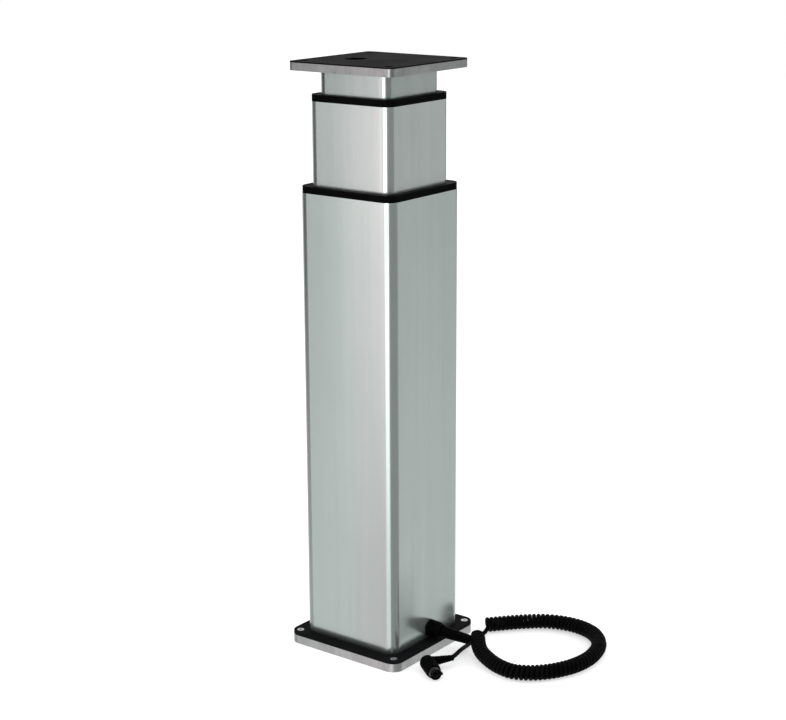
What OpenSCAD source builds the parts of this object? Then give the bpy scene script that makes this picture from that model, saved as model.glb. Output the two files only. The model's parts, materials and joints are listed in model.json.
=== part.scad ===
// Electric lifting column: three square tubes, one inside the other, raised by a motor, a planetary
// gearbox and two spindles that turn together. Millimetres, +Z up, origin at the centre of the base's
// underside. The -Y face is the front and the cable leaves the +X face.

/* [Outer tube] */
// Width of the outer tube across its flats
outer_w = 130; // [128:1:140]
// Length of the outer tube
outer_len = 515.5; // [505:0.5:560]
// Wall of the outer tube
outer_wall = 4; // [3:0.5:4.5]
// Outside corner radius of the outer tube
outer_r = 14; // [11:0.5:15]

/* [Middle tube] */
// Gap all round between the outer tube's inside and the middle tube
mid_gap = 5; // [4.5:0.25:6]
// Wall of the middle tube
mid_wall = 3.5; // [3:0.5:3.5]
// Outside corner radius of the middle tube
mid_r = 13; // [10.5:0.5:13.5]
// Length of the middle tube that shows when the column is lowered
mid_show = 92; // [70:1:120]

/* [Inner tube] */
// Gap all round between the middle tube's inside and the inner tube
inner_gap = 4.25; // [4:0.25:5]
// Wall of the inner tube
inner_wall = 3.5; // [3:0.5:4]
// Outside corner radius of the inner tube
inner_r = 12; // [9.5:0.5:12.5]
// Length of the inner tube that shows when the column is lowered
inner_show = 26; // [15:1:60]

/* [Travel] */
// Travel of each of the two moving stages
stroke = 250; // [150:5:255]

/* [Base] */
// Width of the base plate
base_w = 156; // [154:1:180]
// Thickness of the base plate
base_t = 10; // [9:0.5:14]
// Corner radius of the base plate
base_r = 13.5; // [8:0.5:16]
// Thickness of the black cover on the base plate
cover_t = 3.5; // [3:0.5:5]
// Distance of the corner screws from the base's edges
corner_inset = 9.5; // [8.5:0.5:10]
// Hole spacing across, of the threaded holes under the base
base_hole_x = 100; // [95:1:104]
// Hole spacing front to back, of the threaded holes under the base
base_hole_y = 60; // [30:1:62]
// Core diameter of the threaded holes under the base
base_hole_d = 6.8; // [5:0.1:8.5]

/* [Top] */
// Width of the top plate
top_w = 141; // [136:1:160]
// Thickness of the top plate
top_t = 8.5; // [6:0.5:12]
// Thickness of the black cover on the top plate
top_cover_t = 1.5; // [0.5:0.5:2]
// Corner radius of the top plate
top_r = 7; // [1:0.5:8]
// Spacing of the four bolt holes in the top plate
top_hole_spacing = 116; // [114:1:118]
// Diameter of the four bolt holes in the top plate
top_hole_d = 8.5; // [5.5:0.5:9]
// Diameter of the round port in the top plate
port_d = 25; // [15:1:28]
// Place of the port across
port_x = -24; // [-26:1:20]
// Place of the port front to back
port_y = -10; // [-18:1:18]

/* [Guide rings] */
// Height of each ring above its tube
ring_h = 7.5; // [5:0.5:12]
// Length of the guide tongues inside each tube
tongue_len = 24; // [15:1:30]
// Gap between a ring and the tube that slides in it
ring_gap = 0.5; // [0.3:0.1:0.6]
// Height of the glide pads
glide_h = 38; // [25:1:45]
// Width of the glide pads
glide_w = 22; // [15:1:26]

/* [Drive] */
// Height of the posts that carry the drive
post_h = 70; // [68:1:80]
// Outside diameter of the motor can
motor_d = 52; // [50:1:56]
// Wall of the motor can
can_wall = 2; // [1.5:0.25:2.5]
// Tooth size (module) of the gears
gear_m = 1; // [0.96:0.01:1.04]
// Face width of the planet gears
gear_w = 16; // [12:1:17]
// Outside diameter of the gear housing
gear_case_d = 66; // [65:1:68]
// Thread diameter of the lower spindle
low_d = 20; // [19:0.5:20.5]
// Thread diameter of the upper spindle
up_d = 30; // [29:0.5:32]
// Width across the flats of the drive rod
rod_af = 8; // [7:0.25:8.5]
// Length of the lower nut above its flange
low_nut_len = 32; // [25:1:33]
// Length of the upper nut above its flange
up_nut_len = 34; // [25:1:50]

/* [Cable] */
// Height of the gland's axis
gland_z = 25; // [25:0.5:32]
// Place of the gland front to back
gland_y = 5; // [-10:1:15]
// Width across the flats of the gland
gland_af = 19; // [18:0.5:19]
// Diameter of the bare cord
cord_d = 5; // [4:0.5:5.5]
// Outside diameter of the curled part of the cord
coil_d = 17; // [15:0.5:17]

/* [Hidden] */
$fn = 48;

// widths of the two tubes that slide, each from the tube round it
mid_w = outer_w - 2 * outer_wall - 2 * mid_gap;
inner_w = mid_w - 2 * mid_wall - 2 * inner_gap;

// clearances
eps = 0.01;          // overlap of a cutter past a face
seat_gap = 0.02;     // radial gap of a pressed or seated piece
run_gap = 0.05;      // radial gap of a piece that turns or slides on another
screw_gap = 0.1;     // radial gap round a screw
glide_gap = 0.3;     // gap between a glide pad or tongue and the wall that it runs on

// screws: radius of the shank and of the head
m4 = 2;
m5 = 2.5;
m4_head = 3.5;
m5_head = 4;
head_h = 3.5;
head_sink = 0.05;     // how far a countersunk head sits below its face

// heights, from the floor up
tube_z = base_t + cover_t;
outer_top = tube_z + outer_len;
outer_ring_top = outer_top + ring_h;
mid_top = outer_ring_top + mid_show;
mid_ring_top = mid_top + ring_h;
inner_top = mid_ring_top + inner_show;
top_z = inner_top + top_t;

// the drive's stack
flange_t = 8;
flange_z = base_t + post_h;
gear_z = flange_z + flange_t;
gear_case_h = gear_w + 8;
gear_cover_z = gear_z + gear_case_h;
gear_cover_t = 8;
thrust_z = gear_cover_z + gear_cover_t;
thrust_h = 10;
collar_z = thrust_z + thrust_h;
collar_h = 6;
low_nut_gap = 6;
low_nut_z = collar_z + collar_h + low_nut_gap;
low_nut_flange = 8;
mid_plate_z = low_nut_z + low_nut_flange;
plate_t = 8;
mid_z = mid_plate_z + plate_t;
low_nut_top = mid_plate_z + low_nut_len;

// the upper spindle's bearing in the middle stage, and its nut in the inner stage
bush_z = low_nut_top + 2;
bush_h = 13;
bush_flange_t = 2;
up_collar_z = bush_z + bush_h + bush_flange_t;
up_collar_h = 3;
up_nut_z = up_collar_z + up_collar_h + 1;
up_nut_flange = 5;
inner_plate_z = up_nut_z + up_nut_flange;
inner_z = inner_plate_z + plate_t;
up_nut_top = inner_plate_z + up_nut_len;

// spindles and rod
run_out = 10;
low_top = low_nut_top + stroke + run_out + 4;
up_top = up_nut_top + stroke + run_out;
bush_len = 16;
plug_len = min(30, up_top - low_top - 20);
rod_z = low_top - bush_len - stroke - run_out;
rod_top = up_top - 2;
low_bore_r = rod_af / 2 / cos(30) + 0.6;
drive_bush_r = low_bore_r + 1.4;
up_bore_r = low_d / 2 + 0.75;
journal_r = 9;
low_journal_r = 7;
collar_r = 14;

// motor
motor_r = motor_d / 2;
bell_h = 6;
board_t = 1.6;
board_r = 24;
board_hole_r = 5;
socket_x = 14;
socket_w = 12;
socket_h = 5;
board_z = base_t + 6;
bell_z = board_z + board_t + 2.4;
can_z = bell_z + bell_h;
shaft_r = 3;
magnet_t = 5;
magnet_r = motor_r - can_wall - seat_gap;
armature_r = magnet_r - magnet_t - 1;
commutator_r = 7.5;
comm_z = can_z + 1;
comm_h = 6;
armature_z = comm_z + comm_h + 2;
armature_h = flange_z - armature_z - 14;

// gears: teeth of the sun, the planets and the ring
sun_n = 12;
planet_n = 18;
ring_n = sun_n + 2 * planet_n;
centre_d = gear_m * (sun_n + planet_n) / 2;
planet_z = gear_z + 0.5;
carrier_z = planet_z + gear_w + 0.5;
carrier_t = 5;
carrier_r = gear_m * (ring_n / 2) - 3;
pin_r = 2.5;
pressure = 20;
tooth_slack = 0.12;
flank_steps = 4;

// screw ports in the corners of the tubes
port_r = 4;
small_port_r = 3.2;
function inner_diag(w, wall, r) = (w / 2 - max(r - wall, 1) - wall) * sqrt(2) + max(r - wall, 1);
outer_port = (inner_diag(outer_w, outer_wall, outer_r) - 3.4) / sqrt(2);
mid_port = (inner_diag(mid_w, mid_wall, mid_r) - 2.8) / sqrt(2);
inner_port = (inner_diag(inner_w, inner_wall, inner_r) - 2.8) / sqrt(2);

// posts, screw circles
post_xy = 32;
post_r = 5;
cover_hole_w = 88;
cover_hole_r = 8;
base_screw_hold = 18;
post_screw_hold = 16;
corner_screw_hold = 16;
nut_screw_hold = 5;
flange_w = 84;
gear_screw_r = (gear_case_d / 2 + gear_m * (ring_n / 2 + 1.1)) / 2;
nut_screw_r = 23;
housing_r = 33;
housing_flange_r = 41;
housing_flange_t = 6;
housing_screw_r = 36.8;
up_nut_screw_r = 28.5;
up_nut_r = up_d / 2 + 8;
low_nut_r = low_d / 2 + 7;
base_corner = base_w / 2 - corner_inset;

// thrust bearing
ball_r = 2.3;
ball_pitch = 15.5;
ball_n = 14;
race_gap = 0.12;
thrust_r = 20;

// cord routes, as points on the floor or above it
cord_r = cord_d / 2;
coil_r = coil_d / 2;
gland_x = outer_w / 2;
gland_hex = 5;
gland_dome = 13;
gland_thread_r = 8;
gland_in = 9;
lead_r = 2.3;
sleeve_x = gland_x + gland_hex + gland_dome;
sleeve_r = 7.2;
sleeve_end_r = 5.6;
lead_route = [
    [sleeve_x + 1.5, gland_y, gland_z], [gland_x, gland_y, gland_z],
    [gland_x - outer_wall - gland_in, gland_y, gland_z], [43, 5, 23], [37, 3.5, 17], [31.5, 0, 13.4], [29, 0, 13],
    [26.1, 0, 13]
];
sleeve_route = [
    [sleeve_x, gland_y, gland_z], [sleeve_x + 8, gland_y + 2, gland_z - 1.6],
    [sleeve_x + 17, gland_y + 8, gland_z - 5], [sleeve_x + 25, gland_y + 17, gland_z - 9.8]
];
turn_route = [
    [107.8, 20.6, 16], [107.9, 26, 13.6], [107.2, 30, 14], [107, 31, 17], [109.4, 30.1, 20.9],
    [113.4, 31.9, 22.5], [117, 34.1, 20.6], [118.3, 35.3, 16.3], [117.3, 33.6, 12.6], [116, 29.5, 10.3]
];
coil_route = [
    [114.5, 30.5, 16], [122, 21, 13.5], [131, 12.5, 11], [143, 5, 9.2], [164, -5, 8.6], [186, -9, 8.6],
    [202, -3, 8.6], [216, 9, 8.6], [227, 25, 8.6], [236, 48, 8.6], [238, 77, 8.6], [229, 109, 8.6],
    [209, 132, 8.6], [184, 141, 8.6], [160, 139, 8.6], [138, 129, 8.6], [117, 110, 8.6], [101, 92, 8.6],
    [91, 80, 8.6]
];
tail_route = [
    [92.3, 81.5, 2.6], [91.5, 76, 2.6], [93.4, 68.4, 2.6], [96.4, 49, 2.6], [100.5, 30, 3.5],
    [104, 17, 5.5], [108.5, 3.5, 8], [114.4, -14, 10.6], [115.8, -23, 10.9]
];

// the angled plug: where its elbow is, which way it points, and how far its boot is tipped up
plug_at = [98.6, -46.1, 9];
plug_turn = -37;
boot_tip = 3.6;
plug_r = 8.8;
plug_back = 1.5;
plug_front = 27;
shield_r = 6.6;
shield_in = 8;
shield_out = 7;
shield_wall = 0.6;
shield_floor = 6;
boot_r = 6.4;
boot_len = 31;
pin_circle_r = 3.5;
contact_r = 0.7;

// ---- shapes that repeat ----

module rounded(w, r) {
    square([w, w - 2 * r], center = true);
    square([w - 2 * r, w], center = true);
    for (x = [-1, 1], y = [-1, 1]) translate([x * (w / 2 - r), y * (w / 2 - r)]) circle(r);
}

module slab(w, r, z, h) { translate([0, 0, z]) linear_extrude(h) rounded(w, r); }

module corners(d) {
    for (x = [-1, 1], y = [-1, 1]) translate([x * d, y * d, 0]) children();
}

module round_pattern(r, n, turn = 0) {
    for (i = [0 : n - 1]) rotate([0, 0, turn + i * 360 / n]) translate([r, 0, 0]) children();
}

// a square tube with a screw port in each corner
module profile_tube(w, wall, r, at, boss, core, z, h) {
    translate([0, 0, z]) linear_extrude(h) difference() {
        union() {
            difference() {
                rounded(w, r);
                rounded(w - 2 * wall, max(r - wall, 1));
            }
            for (x = [-1, 1], y = [-1, 1]) translate([x * at, y * at]) circle(boss);
        }
        for (x = [-1, 1], y = [-1, 1]) translate([x * at, y * at]) circle(core);
    }
}

// a ring that caps a tube, with four tongues that reach down inside it and guide the next tube
module guide_ring(cap_w, cap_r, hole_w, hole_r, tube_in, cut_at, cut_r, z) {
    translate([0, 0, z]) linear_extrude(ring_h) difference() {
        rounded(cap_w, cap_r);
        rounded(hole_w, hole_r);
    }
    translate([0, 0, z - tongue_len]) linear_extrude(tongue_len + eps) difference() {
        rounded(tube_in - 2 * glide_gap, hole_r);
        rounded(hole_w, hole_r);
        for (x = [-1, 1], y = [-1, 1]) translate([x * cut_at, y * cut_at]) circle(cut_r);
    }
}

// two pads on each side of a tube
module glide_pads(from, to, z) {
    for (side = [0 : 3]) rotate([0, 0, 90 * side])
        for (y = [-1, 1]) translate([from, y * 24 - glide_w / 2, z]) cube([to - from, glide_w, glide_h]);
}

// a countersunk screw with its head's face at z = 0, pointing down
module flat_screw(r, head, len) {
    translate([0, 0, -len]) cylinder(r = r, h = len - (head - r));
    translate([0, 0, r - head - eps]) cylinder(r1 = r, r2 = head, h = head - r + eps);
}

// the hole for it
module flat_hole(r, head, len) {
    translate([0, 0, -len]) cylinder(r = r + screw_gap, h = len);
    translate([0, 0, r - head]) cylinder(r1 = r + screw_gap, r2 = head + screw_gap, h = head - r);
    cylinder(r = head + screw_gap, h = 1);
}

// a cap screw with the underside of its head at z = 0, pointing down, with a hex socket
module cap_screw(r, head, len) {
    translate([0, 0, -len]) cylinder(r = r, h = len + eps);
    difference() {
        cylinder(r = head, h = head_h);
        translate([0, 0, head_h - 2]) cylinder(r = head * 0.5, h = 3, $fn = 6);
    }
}

module tube_between(r_out, r_in, z, h) {
    translate([0, 0, z]) difference() {
        cylinder(r = r_out, h = h);
        translate([0, 0, -1]) cylinder(r = r_in, h = h + 2);
    }
}

// ---- gear teeth ----
// angle by which an involute has turned at radius r from the base circle rb
function involute(r, rb) = let (a = acos(min(1, rb / r))) tan(a) * 180 / PI - a;

// half of a tooth's angle at radius r, for n teeth
function half_tooth(r, n, slack) =
    let (rp = gear_m * n / 2, rb = rp * cos(pressure))
    90 / n - slack / rp * 90 / PI + involute(rp, rb) - involute(max(r, rb), rb);

function polar(r, a) = [r * cos(a), r * sin(a)];

// outline of a gear, or of the space inside a ring when slack is negative
function gear_outline(n, tip, root, slack) =
    let (rb = gear_m * n / 2 * cos(pressure), low = max(root, rb))
    [for (i = [0 : n - 1]) let (a = i * 360 / n)
        each concat(
            [polar(root, a - half_tooth(root, n, slack))],
            [for (k = [0 : flank_steps]) let (r = low + (tip - low) * k / flank_steps)
                polar(r, a - half_tooth(r, n, slack))],
            [for (k = [flank_steps : -1 : 0]) let (r = low + (tip - low) * k / flank_steps)
                polar(r, a + half_tooth(r, n, slack))],
            [polar(root, a + half_tooth(root, n, slack))])];

module spur_gear(n, turn, bore_r, z) {
    rp = gear_m * n / 2;
    translate([0, 0, z]) linear_extrude(gear_w) difference() {
        rotate(turn) polygon(gear_outline(n, rp + 0.85 * gear_m, rp - 1.1 * gear_m, tooth_slack));
        circle(bore_r);
    }
}

// ---- swept cords ----
function smooth_at(p, i, t) =
    let (n = len(p) - 1, a = p[max(i - 1, 0)], b = p[i], c = p[min(i + 1, n)], d = p[min(i + 2, n)])
    0.5 * (2 * b + (c - a) * t + (2 * a - 5 * b + 4 * c - d) * t * t + (3 * b - a - 3 * c + d) * t * t * t);

function smooth_path(p, steps) = concat(
    [for (i = [0 : len(p) - 2], k = [0 : steps - 1]) smooth_at(p, i, k / steps)], [p[len(p) - 1]]);

function unit(v) = v / norm(v);
function tangent(q, i) = unit(q[min(i + 1, len(q) - 1)] - q[max(i - 1, 0)]);

// the side direction at each ring is carried from the ring before, so that the tube never twists
function carry(q, i, side) = let (t = tangent(q, i)) unit(side - t * (side * t));
function sides(q, i, side) =
    i >= len(q) ? [] : let (s = carry(q, i, side)) concat([s], sides(q, i + 1, s));

module swept(points, r_start, r_end, steps, edges) {
    q = smooth_path(points, steps);
    n = len(q);
    first = tangent(q, 0);
    s = sides(q, 0, unit(cross([0, 0, 1], first)));
    ring_points = [for (i = [0 : n - 1]) let (t = tangent(q, i), u = cross(t, s[i]),
        r = r_start + (r_end - r_start) * i / (n - 1))
        for (k = [0 : edges - 1]) q[i] + r * (s[i] * cos(k * 360 / edges) + u * sin(k * 360 / edges))];
    walls = [for (i = [0 : n - 2], k = [0 : edges - 1]) let (a = i * edges + k, b = i * edges + (k + 1) % edges)
        each [[a, a + edges, b], [b, a + edges, b + edges]]];
    start_cap = [for (k = [0 : edges - 1]) k];
    end_cap = [for (k = [edges - 1 : -1 : 0]) (n - 1) * edges + k];
    polyhedron(ring_points, concat(walls, [start_cap], [end_cap]), convexity = 10);
}

// ---- base ----

module base_plate() color("silver") difference() {
    slab(base_w, base_r, 0, base_t);
    for (x = [-1, 1], y = [-1, 1]) translate([x * base_hole_x / 2, y * base_hole_y / 2, -1])
        cylinder(r = base_hole_d / 2, h = base_t + 2);
    corners(base_corner) translate([0, 0, 2]) cylinder(r = m5 + screw_gap, h = base_t);
    corners(outer_port) mirror([0, 0, 1]) flat_hole(m5, m5_head, base_t + 1);
    corners(post_xy) mirror([0, 0, 1]) flat_hole(m5, m5_head, base_t + 1);
}

module base_cover() color([0.08, 0.08, 0.09]) difference() {
    slab(base_w, base_r, base_t, cover_t);
    slab(cover_hole_w, cover_hole_r, base_t - 1, cover_t + 2);
    corners(base_corner) translate([0, 0, tube_z]) flat_hole(m5, m5_head, cover_t + 1);
    corners(outer_port) translate([0, 0, base_t - 1]) cylinder(r = m5 + screw_gap, h = cover_t + 2);
}

module corner_screws() color("gainsboro") corners(base_corner) translate([0, 0, tube_z - head_sink]) difference() {
    flat_screw(m5, m5_head, base_t + cover_t - 3);
    translate([0, 0, -1.8]) cylinder(r = 1.7, h = 3, $fn = 6);
}

module base_screws() color("gray") {
    corners(outer_port) translate([0, 0, head_sink]) mirror([0, 0, 1])
        flat_screw(m5, m5_head, base_t + base_screw_hold);
    corners(post_xy) translate([0, 0, head_sink]) mirror([0, 0, 1])
        flat_screw(m5, m5_head, base_t + post_screw_hold);
}

// ---- outer stage ----

module outer_tube() color("silver") difference() {
    profile_tube(outer_w, outer_wall, outer_r, outer_port, port_r, m5 + screw_gap, tube_z, outer_len);
    translate([outer_w / 2 - outer_wall - 1, gland_y, gland_z]) rotate([0, 90, 0])
        cylinder(r = gland_thread_r + screw_gap, h = outer_wall + 2);
}

module outer_ring() color([0.05, 0.05, 0.05])
    guide_ring(outer_w - 1, outer_r - 0.5, mid_w + 2 * ring_gap, mid_r + ring_gap, outer_w - 2 * outer_wall,
        outer_port, 5.2, outer_top);

// ---- drive mount ----

module drive_posts() color("lightgray") corners(post_xy) translate([0, 0, base_t]) difference() {
    cylinder(r = post_r, h = post_h);
    translate([0, 0, -1]) cylinder(r = m5 + screw_gap, h = post_h + 2);
}

module drive_flange() color("silver") difference() {
    slab(flange_w, 8, flange_z, flange_t);
    translate([0, 0, flange_z - 1]) cylinder(r = 10, h = flange_t + 2);
    corners(post_xy) translate([0, 0, flange_z - 1]) cylinder(r = m5 + screw_gap, h = flange_t + 2);
    round_pattern(gear_screw_r, 4, 45) translate([0, 0, flange_z - 1]) cylinder(r = m4 + screw_gap, h = flange_t + 2);
    round_pattern(17, 2) translate([0, 0, flange_z - 1]) {
        cylinder(r = m4 + screw_gap, h = flange_t + 2);
        translate([0, 0, flange_t + 1 - head_h - 0.3]) cylinder(r = m4_head + screw_gap, h = head_h + 2);
    }
}

module drive_screws() color("gray") {
    corners(post_xy) translate([0, 0, gear_z]) cap_screw(m5, m5_head, flange_t + 16);
    round_pattern(gear_screw_r, 4, 45) translate([0, 0, thrust_z])
        cap_screw(m4, m4_head, gear_cover_t + gear_case_h + flange_t - 2);
    round_pattern(17, 2) translate([0, 0, gear_z - head_h - 0.3]) cap_screw(m4, m4_head, flange_t - 1);
}

// ---- motor ----

module motor_can() color("dimgray") difference() {
    translate([0, 0, can_z]) cylinder(r = motor_r, h = flange_z - can_z);
    translate([0, 0, can_z - 1]) cylinder(r = motor_r - can_wall, h = flange_z - can_z - 4 + 1);
    translate([0, 0, can_z]) cylinder(r = shaft_r + run_gap, h = flange_z);
    round_pattern(17, 2) translate([0, 0, can_z]) cylinder(r = m4 + screw_gap, h = flange_z);
}

// closes the can from below, carries the shaft's lower end, the brushes and the sensor board
module motor_end_bell() color("white") difference() {
    union() {
        translate([0, 0, bell_z]) cylinder(r = motor_r, h = bell_h);
        round_pattern(20, 3, 60) translate([0, 0, board_z + board_t]) cylinder(r = 3, h = bell_z - board_z);
        for (y = [-1, 1]) translate([-4, y * 13 - 5, can_z - eps]) cube([8, 10, comm_h + 1]);
    }
    translate([0, 0, bell_z - 1]) cylinder(r = shaft_r + run_gap, h = bell_h + 2);
    for (y = [-1, 1]) translate([-2.6, y * 13 - 6, can_z + 1.4]) cube([5.2, 12, comm_h - 1.8]);
}

module motor_magnets() color([0.2, 0.2, 0.22]) translate([0, 0, armature_z - 2]) linear_extrude(armature_h + 4)
    for (side = [0, 180]) rotate(side) intersection() {
        difference() {
            circle(magnet_r);
            circle(magnet_r - magnet_t);
        }
        polygon([[0, 0], [motor_d, -1.25 * motor_d], [motor_d, 1.25 * motor_d]]);
    }

module motor_brushes() color([0.15, 0.15, 0.15]) for (y = [-1, 1])
    translate([-2.5, y > 0 ? commutator_r + 0.2 : -commutator_r - 0.2 - 9, can_z + 1.5])
        cube([5, 9, comm_h - 2]);

module sensor_board() color("darkgreen") {
    difference() {
        translate([0, 0, board_z]) cylinder(r = board_r, h = board_t);
        translate([0, 0, board_z - 1]) cylinder(r = board_hole_r, h = board_t + 2);
    }
    translate([socket_x, -socket_w / 2, board_z - socket_h]) cube([socket_w, socket_w, socket_h + eps]);
}

module motor_shaft() color("lightgray") translate([0, 0, bell_z - 1.5])
    cylinder(r = shaft_r, h = planet_z + gear_w - bell_z + 1.5);

module armature() color([0.72, 0.4, 0.2]) tube_between(armature_r, shaft_r + seat_gap, armature_z, armature_h);

module commutator() color("peru") tube_between(commutator_r, shaft_r + seat_gap, comm_z, comm_h);

// ---- gearbox ----

module sun_gear() color("goldenrod") spur_gear(sun_n, 0, shaft_r + seat_gap, planet_z);

module planet(k) rotate([0, 0, 120 * k]) translate([centre_d, 0, 0])
    spur_gear(planet_n, 180 / planet_n, pin_r + run_gap, planet_z);

module planet_gear_1() color("beige") planet(0);
module planet_gear_2() color("beige") planet(1);
module planet_gear_3() color("beige") planet(2);

module planet_pins() color("lightgray") round_pattern(centre_d, 3) translate([0, 0, gear_z + 0.8])
    cylinder(r = pin_r, h = carrier_z + carrier_t - gear_z - 1);

module planet_carrier() color("gray") difference() {
    translate([0, 0, carrier_z]) cylinder(r = carrier_r, h = carrier_t);
    translate([0, 0, carrier_z - 1]) cylinder(r = low_journal_r + seat_gap, h = carrier_t + 2);
    round_pattern(centre_d, 3) translate([0, 0, carrier_z - 1]) cylinder(r = pin_r + seat_gap, h = carrier_t + 2);
}

module gear_housing() color("darkgray") translate([0, 0, gear_z]) linear_extrude(gear_case_h) difference() {
    circle(gear_case_d / 2);
    rotate(180 / ring_n)
        polygon(gear_outline(ring_n, gear_m * (ring_n / 2 + 1.1), gear_m * (ring_n / 2 - 0.85), -tooth_slack));
    for (i = [0 : 3]) rotate(45 + 90 * i) translate([gear_screw_r, 0]) circle(m4 + screw_gap);
}

module gear_cover() color("darkgray") difference() {
    translate([0, 0, gear_cover_z]) cylinder(r = gear_case_d / 2, h = gear_cover_t);
    translate([0, 0, gear_cover_z - 1]) cylinder(r = journal_r + 2 + seat_gap, h = gear_cover_t + 2);
    round_pattern(gear_screw_r, 4, 45) translate([0, 0, gear_cover_z - 1])
        cylinder(r = m4 + screw_gap, h = gear_cover_t + 2);
}

module cover_bush() color("darkgoldenrod") tube_between(journal_r + 2, journal_r + run_gap, gear_cover_z, gear_cover_t);

// ---- thrust bearing under the lower spindle ----
ball_z = thrust_z + thrust_h / 2;

module race() rotate_extrude() translate([ball_pitch, 0]) circle(ball_r + race_gap);

module thrust_washer_lower() color("lightgray") difference() {
    tube_between(thrust_r, journal_r + 0.5, thrust_z, thrust_h / 2 - 1.4);
    translate([0, 0, ball_z]) race();
}

module thrust_washer_upper() color("lightgray") difference() {
    tube_between(thrust_r, journal_r + seat_gap, ball_z + 1.4, thrust_h / 2 - 1.4);
    translate([0, 0, ball_z]) race();
}

// the balls and the cage that spaces them
module thrust_balls() color("gray") {
    round_pattern(ball_pitch, ball_n) translate([0, 0, ball_z]) sphere(ball_r);
    difference() {
        tube_between(thrust_r - 0.6, journal_r + 2, ball_z - 0.8, 1.6);
        round_pattern(ball_pitch, ball_n) translate([0, 0, ball_z]) sphere(ball_r + race_gap);
    }
}

// ---- lower spindle ----

module spindle_lower() color("lightsteelblue") difference() {
    union() {
        translate([0, 0, carrier_z]) cylinder(r = low_journal_r, h = carrier_t + eps);
        translate([0, 0, carrier_z + carrier_t]) cylinder(r = journal_r, h = collar_z - carrier_z - carrier_t + eps);
        translate([0, 0, collar_z]) cylinder(r = collar_r, h = collar_h);
        translate([0, 0, collar_z + collar_h - eps]) cylinder(r = low_d / 2, h = low_top - collar_z - collar_h - 1);
        translate([0, 0, low_top - 1 - 2 * eps]) cylinder(r1 = low_d / 2, r2 = low_d / 2 - 1, h = 1);
    }
    translate([0, 0, rod_z - 5]) cylinder(r = low_bore_r, h = low_top);
    translate([0, 0, low_top - bush_len]) cylinder(r = drive_bush_r + seat_gap, h = bush_len + 1);
}

// pressed into the spindle's top, it turns the rod
module drive_bush() color("darkgoldenrod") difference() {
    translate([0, 0, low_top - bush_len]) cylinder(r = drive_bush_r, h = bush_len - 1);
    translate([0, 0, low_top - bush_len - 1]) cylinder(r = (rod_af / 2 + 0.1) / cos(30), h = bush_len + 2, $fn = 6);
}

// ---- middle stage ----

module mid_tube() color("silver")
    profile_tube(mid_w, mid_wall, mid_r, mid_port, small_port_r, m4 + screw_gap, mid_z, mid_top - mid_z);

module mid_ring() color([0.05, 0.05, 0.05])
    guide_ring(mid_w, mid_r, inner_w + 2 * ring_gap, inner_r + ring_gap, mid_w - 2 * mid_wall,
        mid_port, 3.9, mid_top);

module mid_glides() color("whitesmoke") glide_pads(mid_w / 2, outer_w / 2 - outer_wall - glide_gap, mid_z + 2);

module mid_plate() color("gray") difference() {
    slab(mid_w - 2, mid_r - 1, mid_plate_z, plate_t);
    translate([0, 0, mid_plate_z - 1]) cylinder(r = low_nut_r + 0.1, h = plate_t + 2);
    corners(mid_port) translate([0, 0, mid_plate_z]) mirror([0, 0, 1]) flat_hole(m4, m4_head, plate_t + 1);
    round_pattern(nut_screw_r, 4, 45) translate([0, 0, mid_plate_z - 1]) cylinder(r = m4 + screw_gap, h = plate_t + 2);
    round_pattern(housing_screw_r, 4) translate([0, 0, mid_plate_z - 1]) cylinder(r = m4 + screw_gap, h = plate_t + 2);
}

module mid_screws() color("gray") {
    corners(mid_port) translate([0, 0, mid_plate_z + head_sink]) mirror([0, 0, 1])
        flat_screw(m4, m4_head, plate_t + corner_screw_hold);
    round_pattern(nut_screw_r, 4, 45) translate([0, 0, low_nut_z]) mirror([0, 0, 1])
        cap_screw(m4, m4_head, low_nut_flange + plate_t - 1);
    round_pattern(housing_screw_r, 4) translate([0, 0, mid_z + housing_flange_t])
        cap_screw(m4, m4_head, plate_t + nut_screw_hold);
}

module nut_lower() color("ivory") difference() {
    union() {
        translate([0, 0, low_nut_z]) cylinder(r = nut_screw_r + 5, h = low_nut_flange);
        translate([0, 0, mid_plate_z - eps]) cylinder(r = low_nut_r, h = low_nut_len + eps);
    }
    translate([0, 0, low_nut_z - 1]) cylinder(r = low_d / 2 + run_gap, h = low_nut_flange + low_nut_len + 2);
    round_pattern(nut_screw_r, 4, 45) translate([0, 0, low_nut_z - 1]) cylinder(r = m4 + screw_gap, h = low_nut_flange + 2);
}

// a cup over the lower nut that holds the upper spindle's bush
module bearing_housing() color("darkgray") difference() {
    union() {
        translate([0, 0, mid_z]) cylinder(r = housing_flange_r, h = housing_flange_t);
        translate([0, 0, mid_z + housing_flange_t - eps])
            cylinder(r = housing_r, h = bush_z + bush_h - mid_z - housing_flange_t + eps);
    }
    translate([0, 0, mid_z - 1]) cylinder(r = low_nut_r + 3, h = bush_z - mid_z - 1);
    translate([0, 0, mid_z - 1]) cylinder(r = up_d / 2 + 3 + seat_gap, h = bush_z + bush_h);
    round_pattern(housing_screw_r, 4) translate([0, 0, mid_z - 1])
        cylinder(r = m4 + screw_gap, h = housing_flange_t + 2);
}

module upper_bush() color("darkgoldenrod") difference() {
    union() {
        translate([0, 0, bush_z]) cylinder(r = up_d / 2 + 3, h = bush_h + eps);
        translate([0, 0, bush_z + bush_h]) cylinder(r = up_d / 2 + 8, h = bush_flange_t - 0.1);
    }
    translate([0, 0, bush_z - 1]) cylinder(r = up_d / 2 + run_gap, h = bush_h + bush_flange_t + 2);
}

// ---- upper spindle ----

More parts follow.
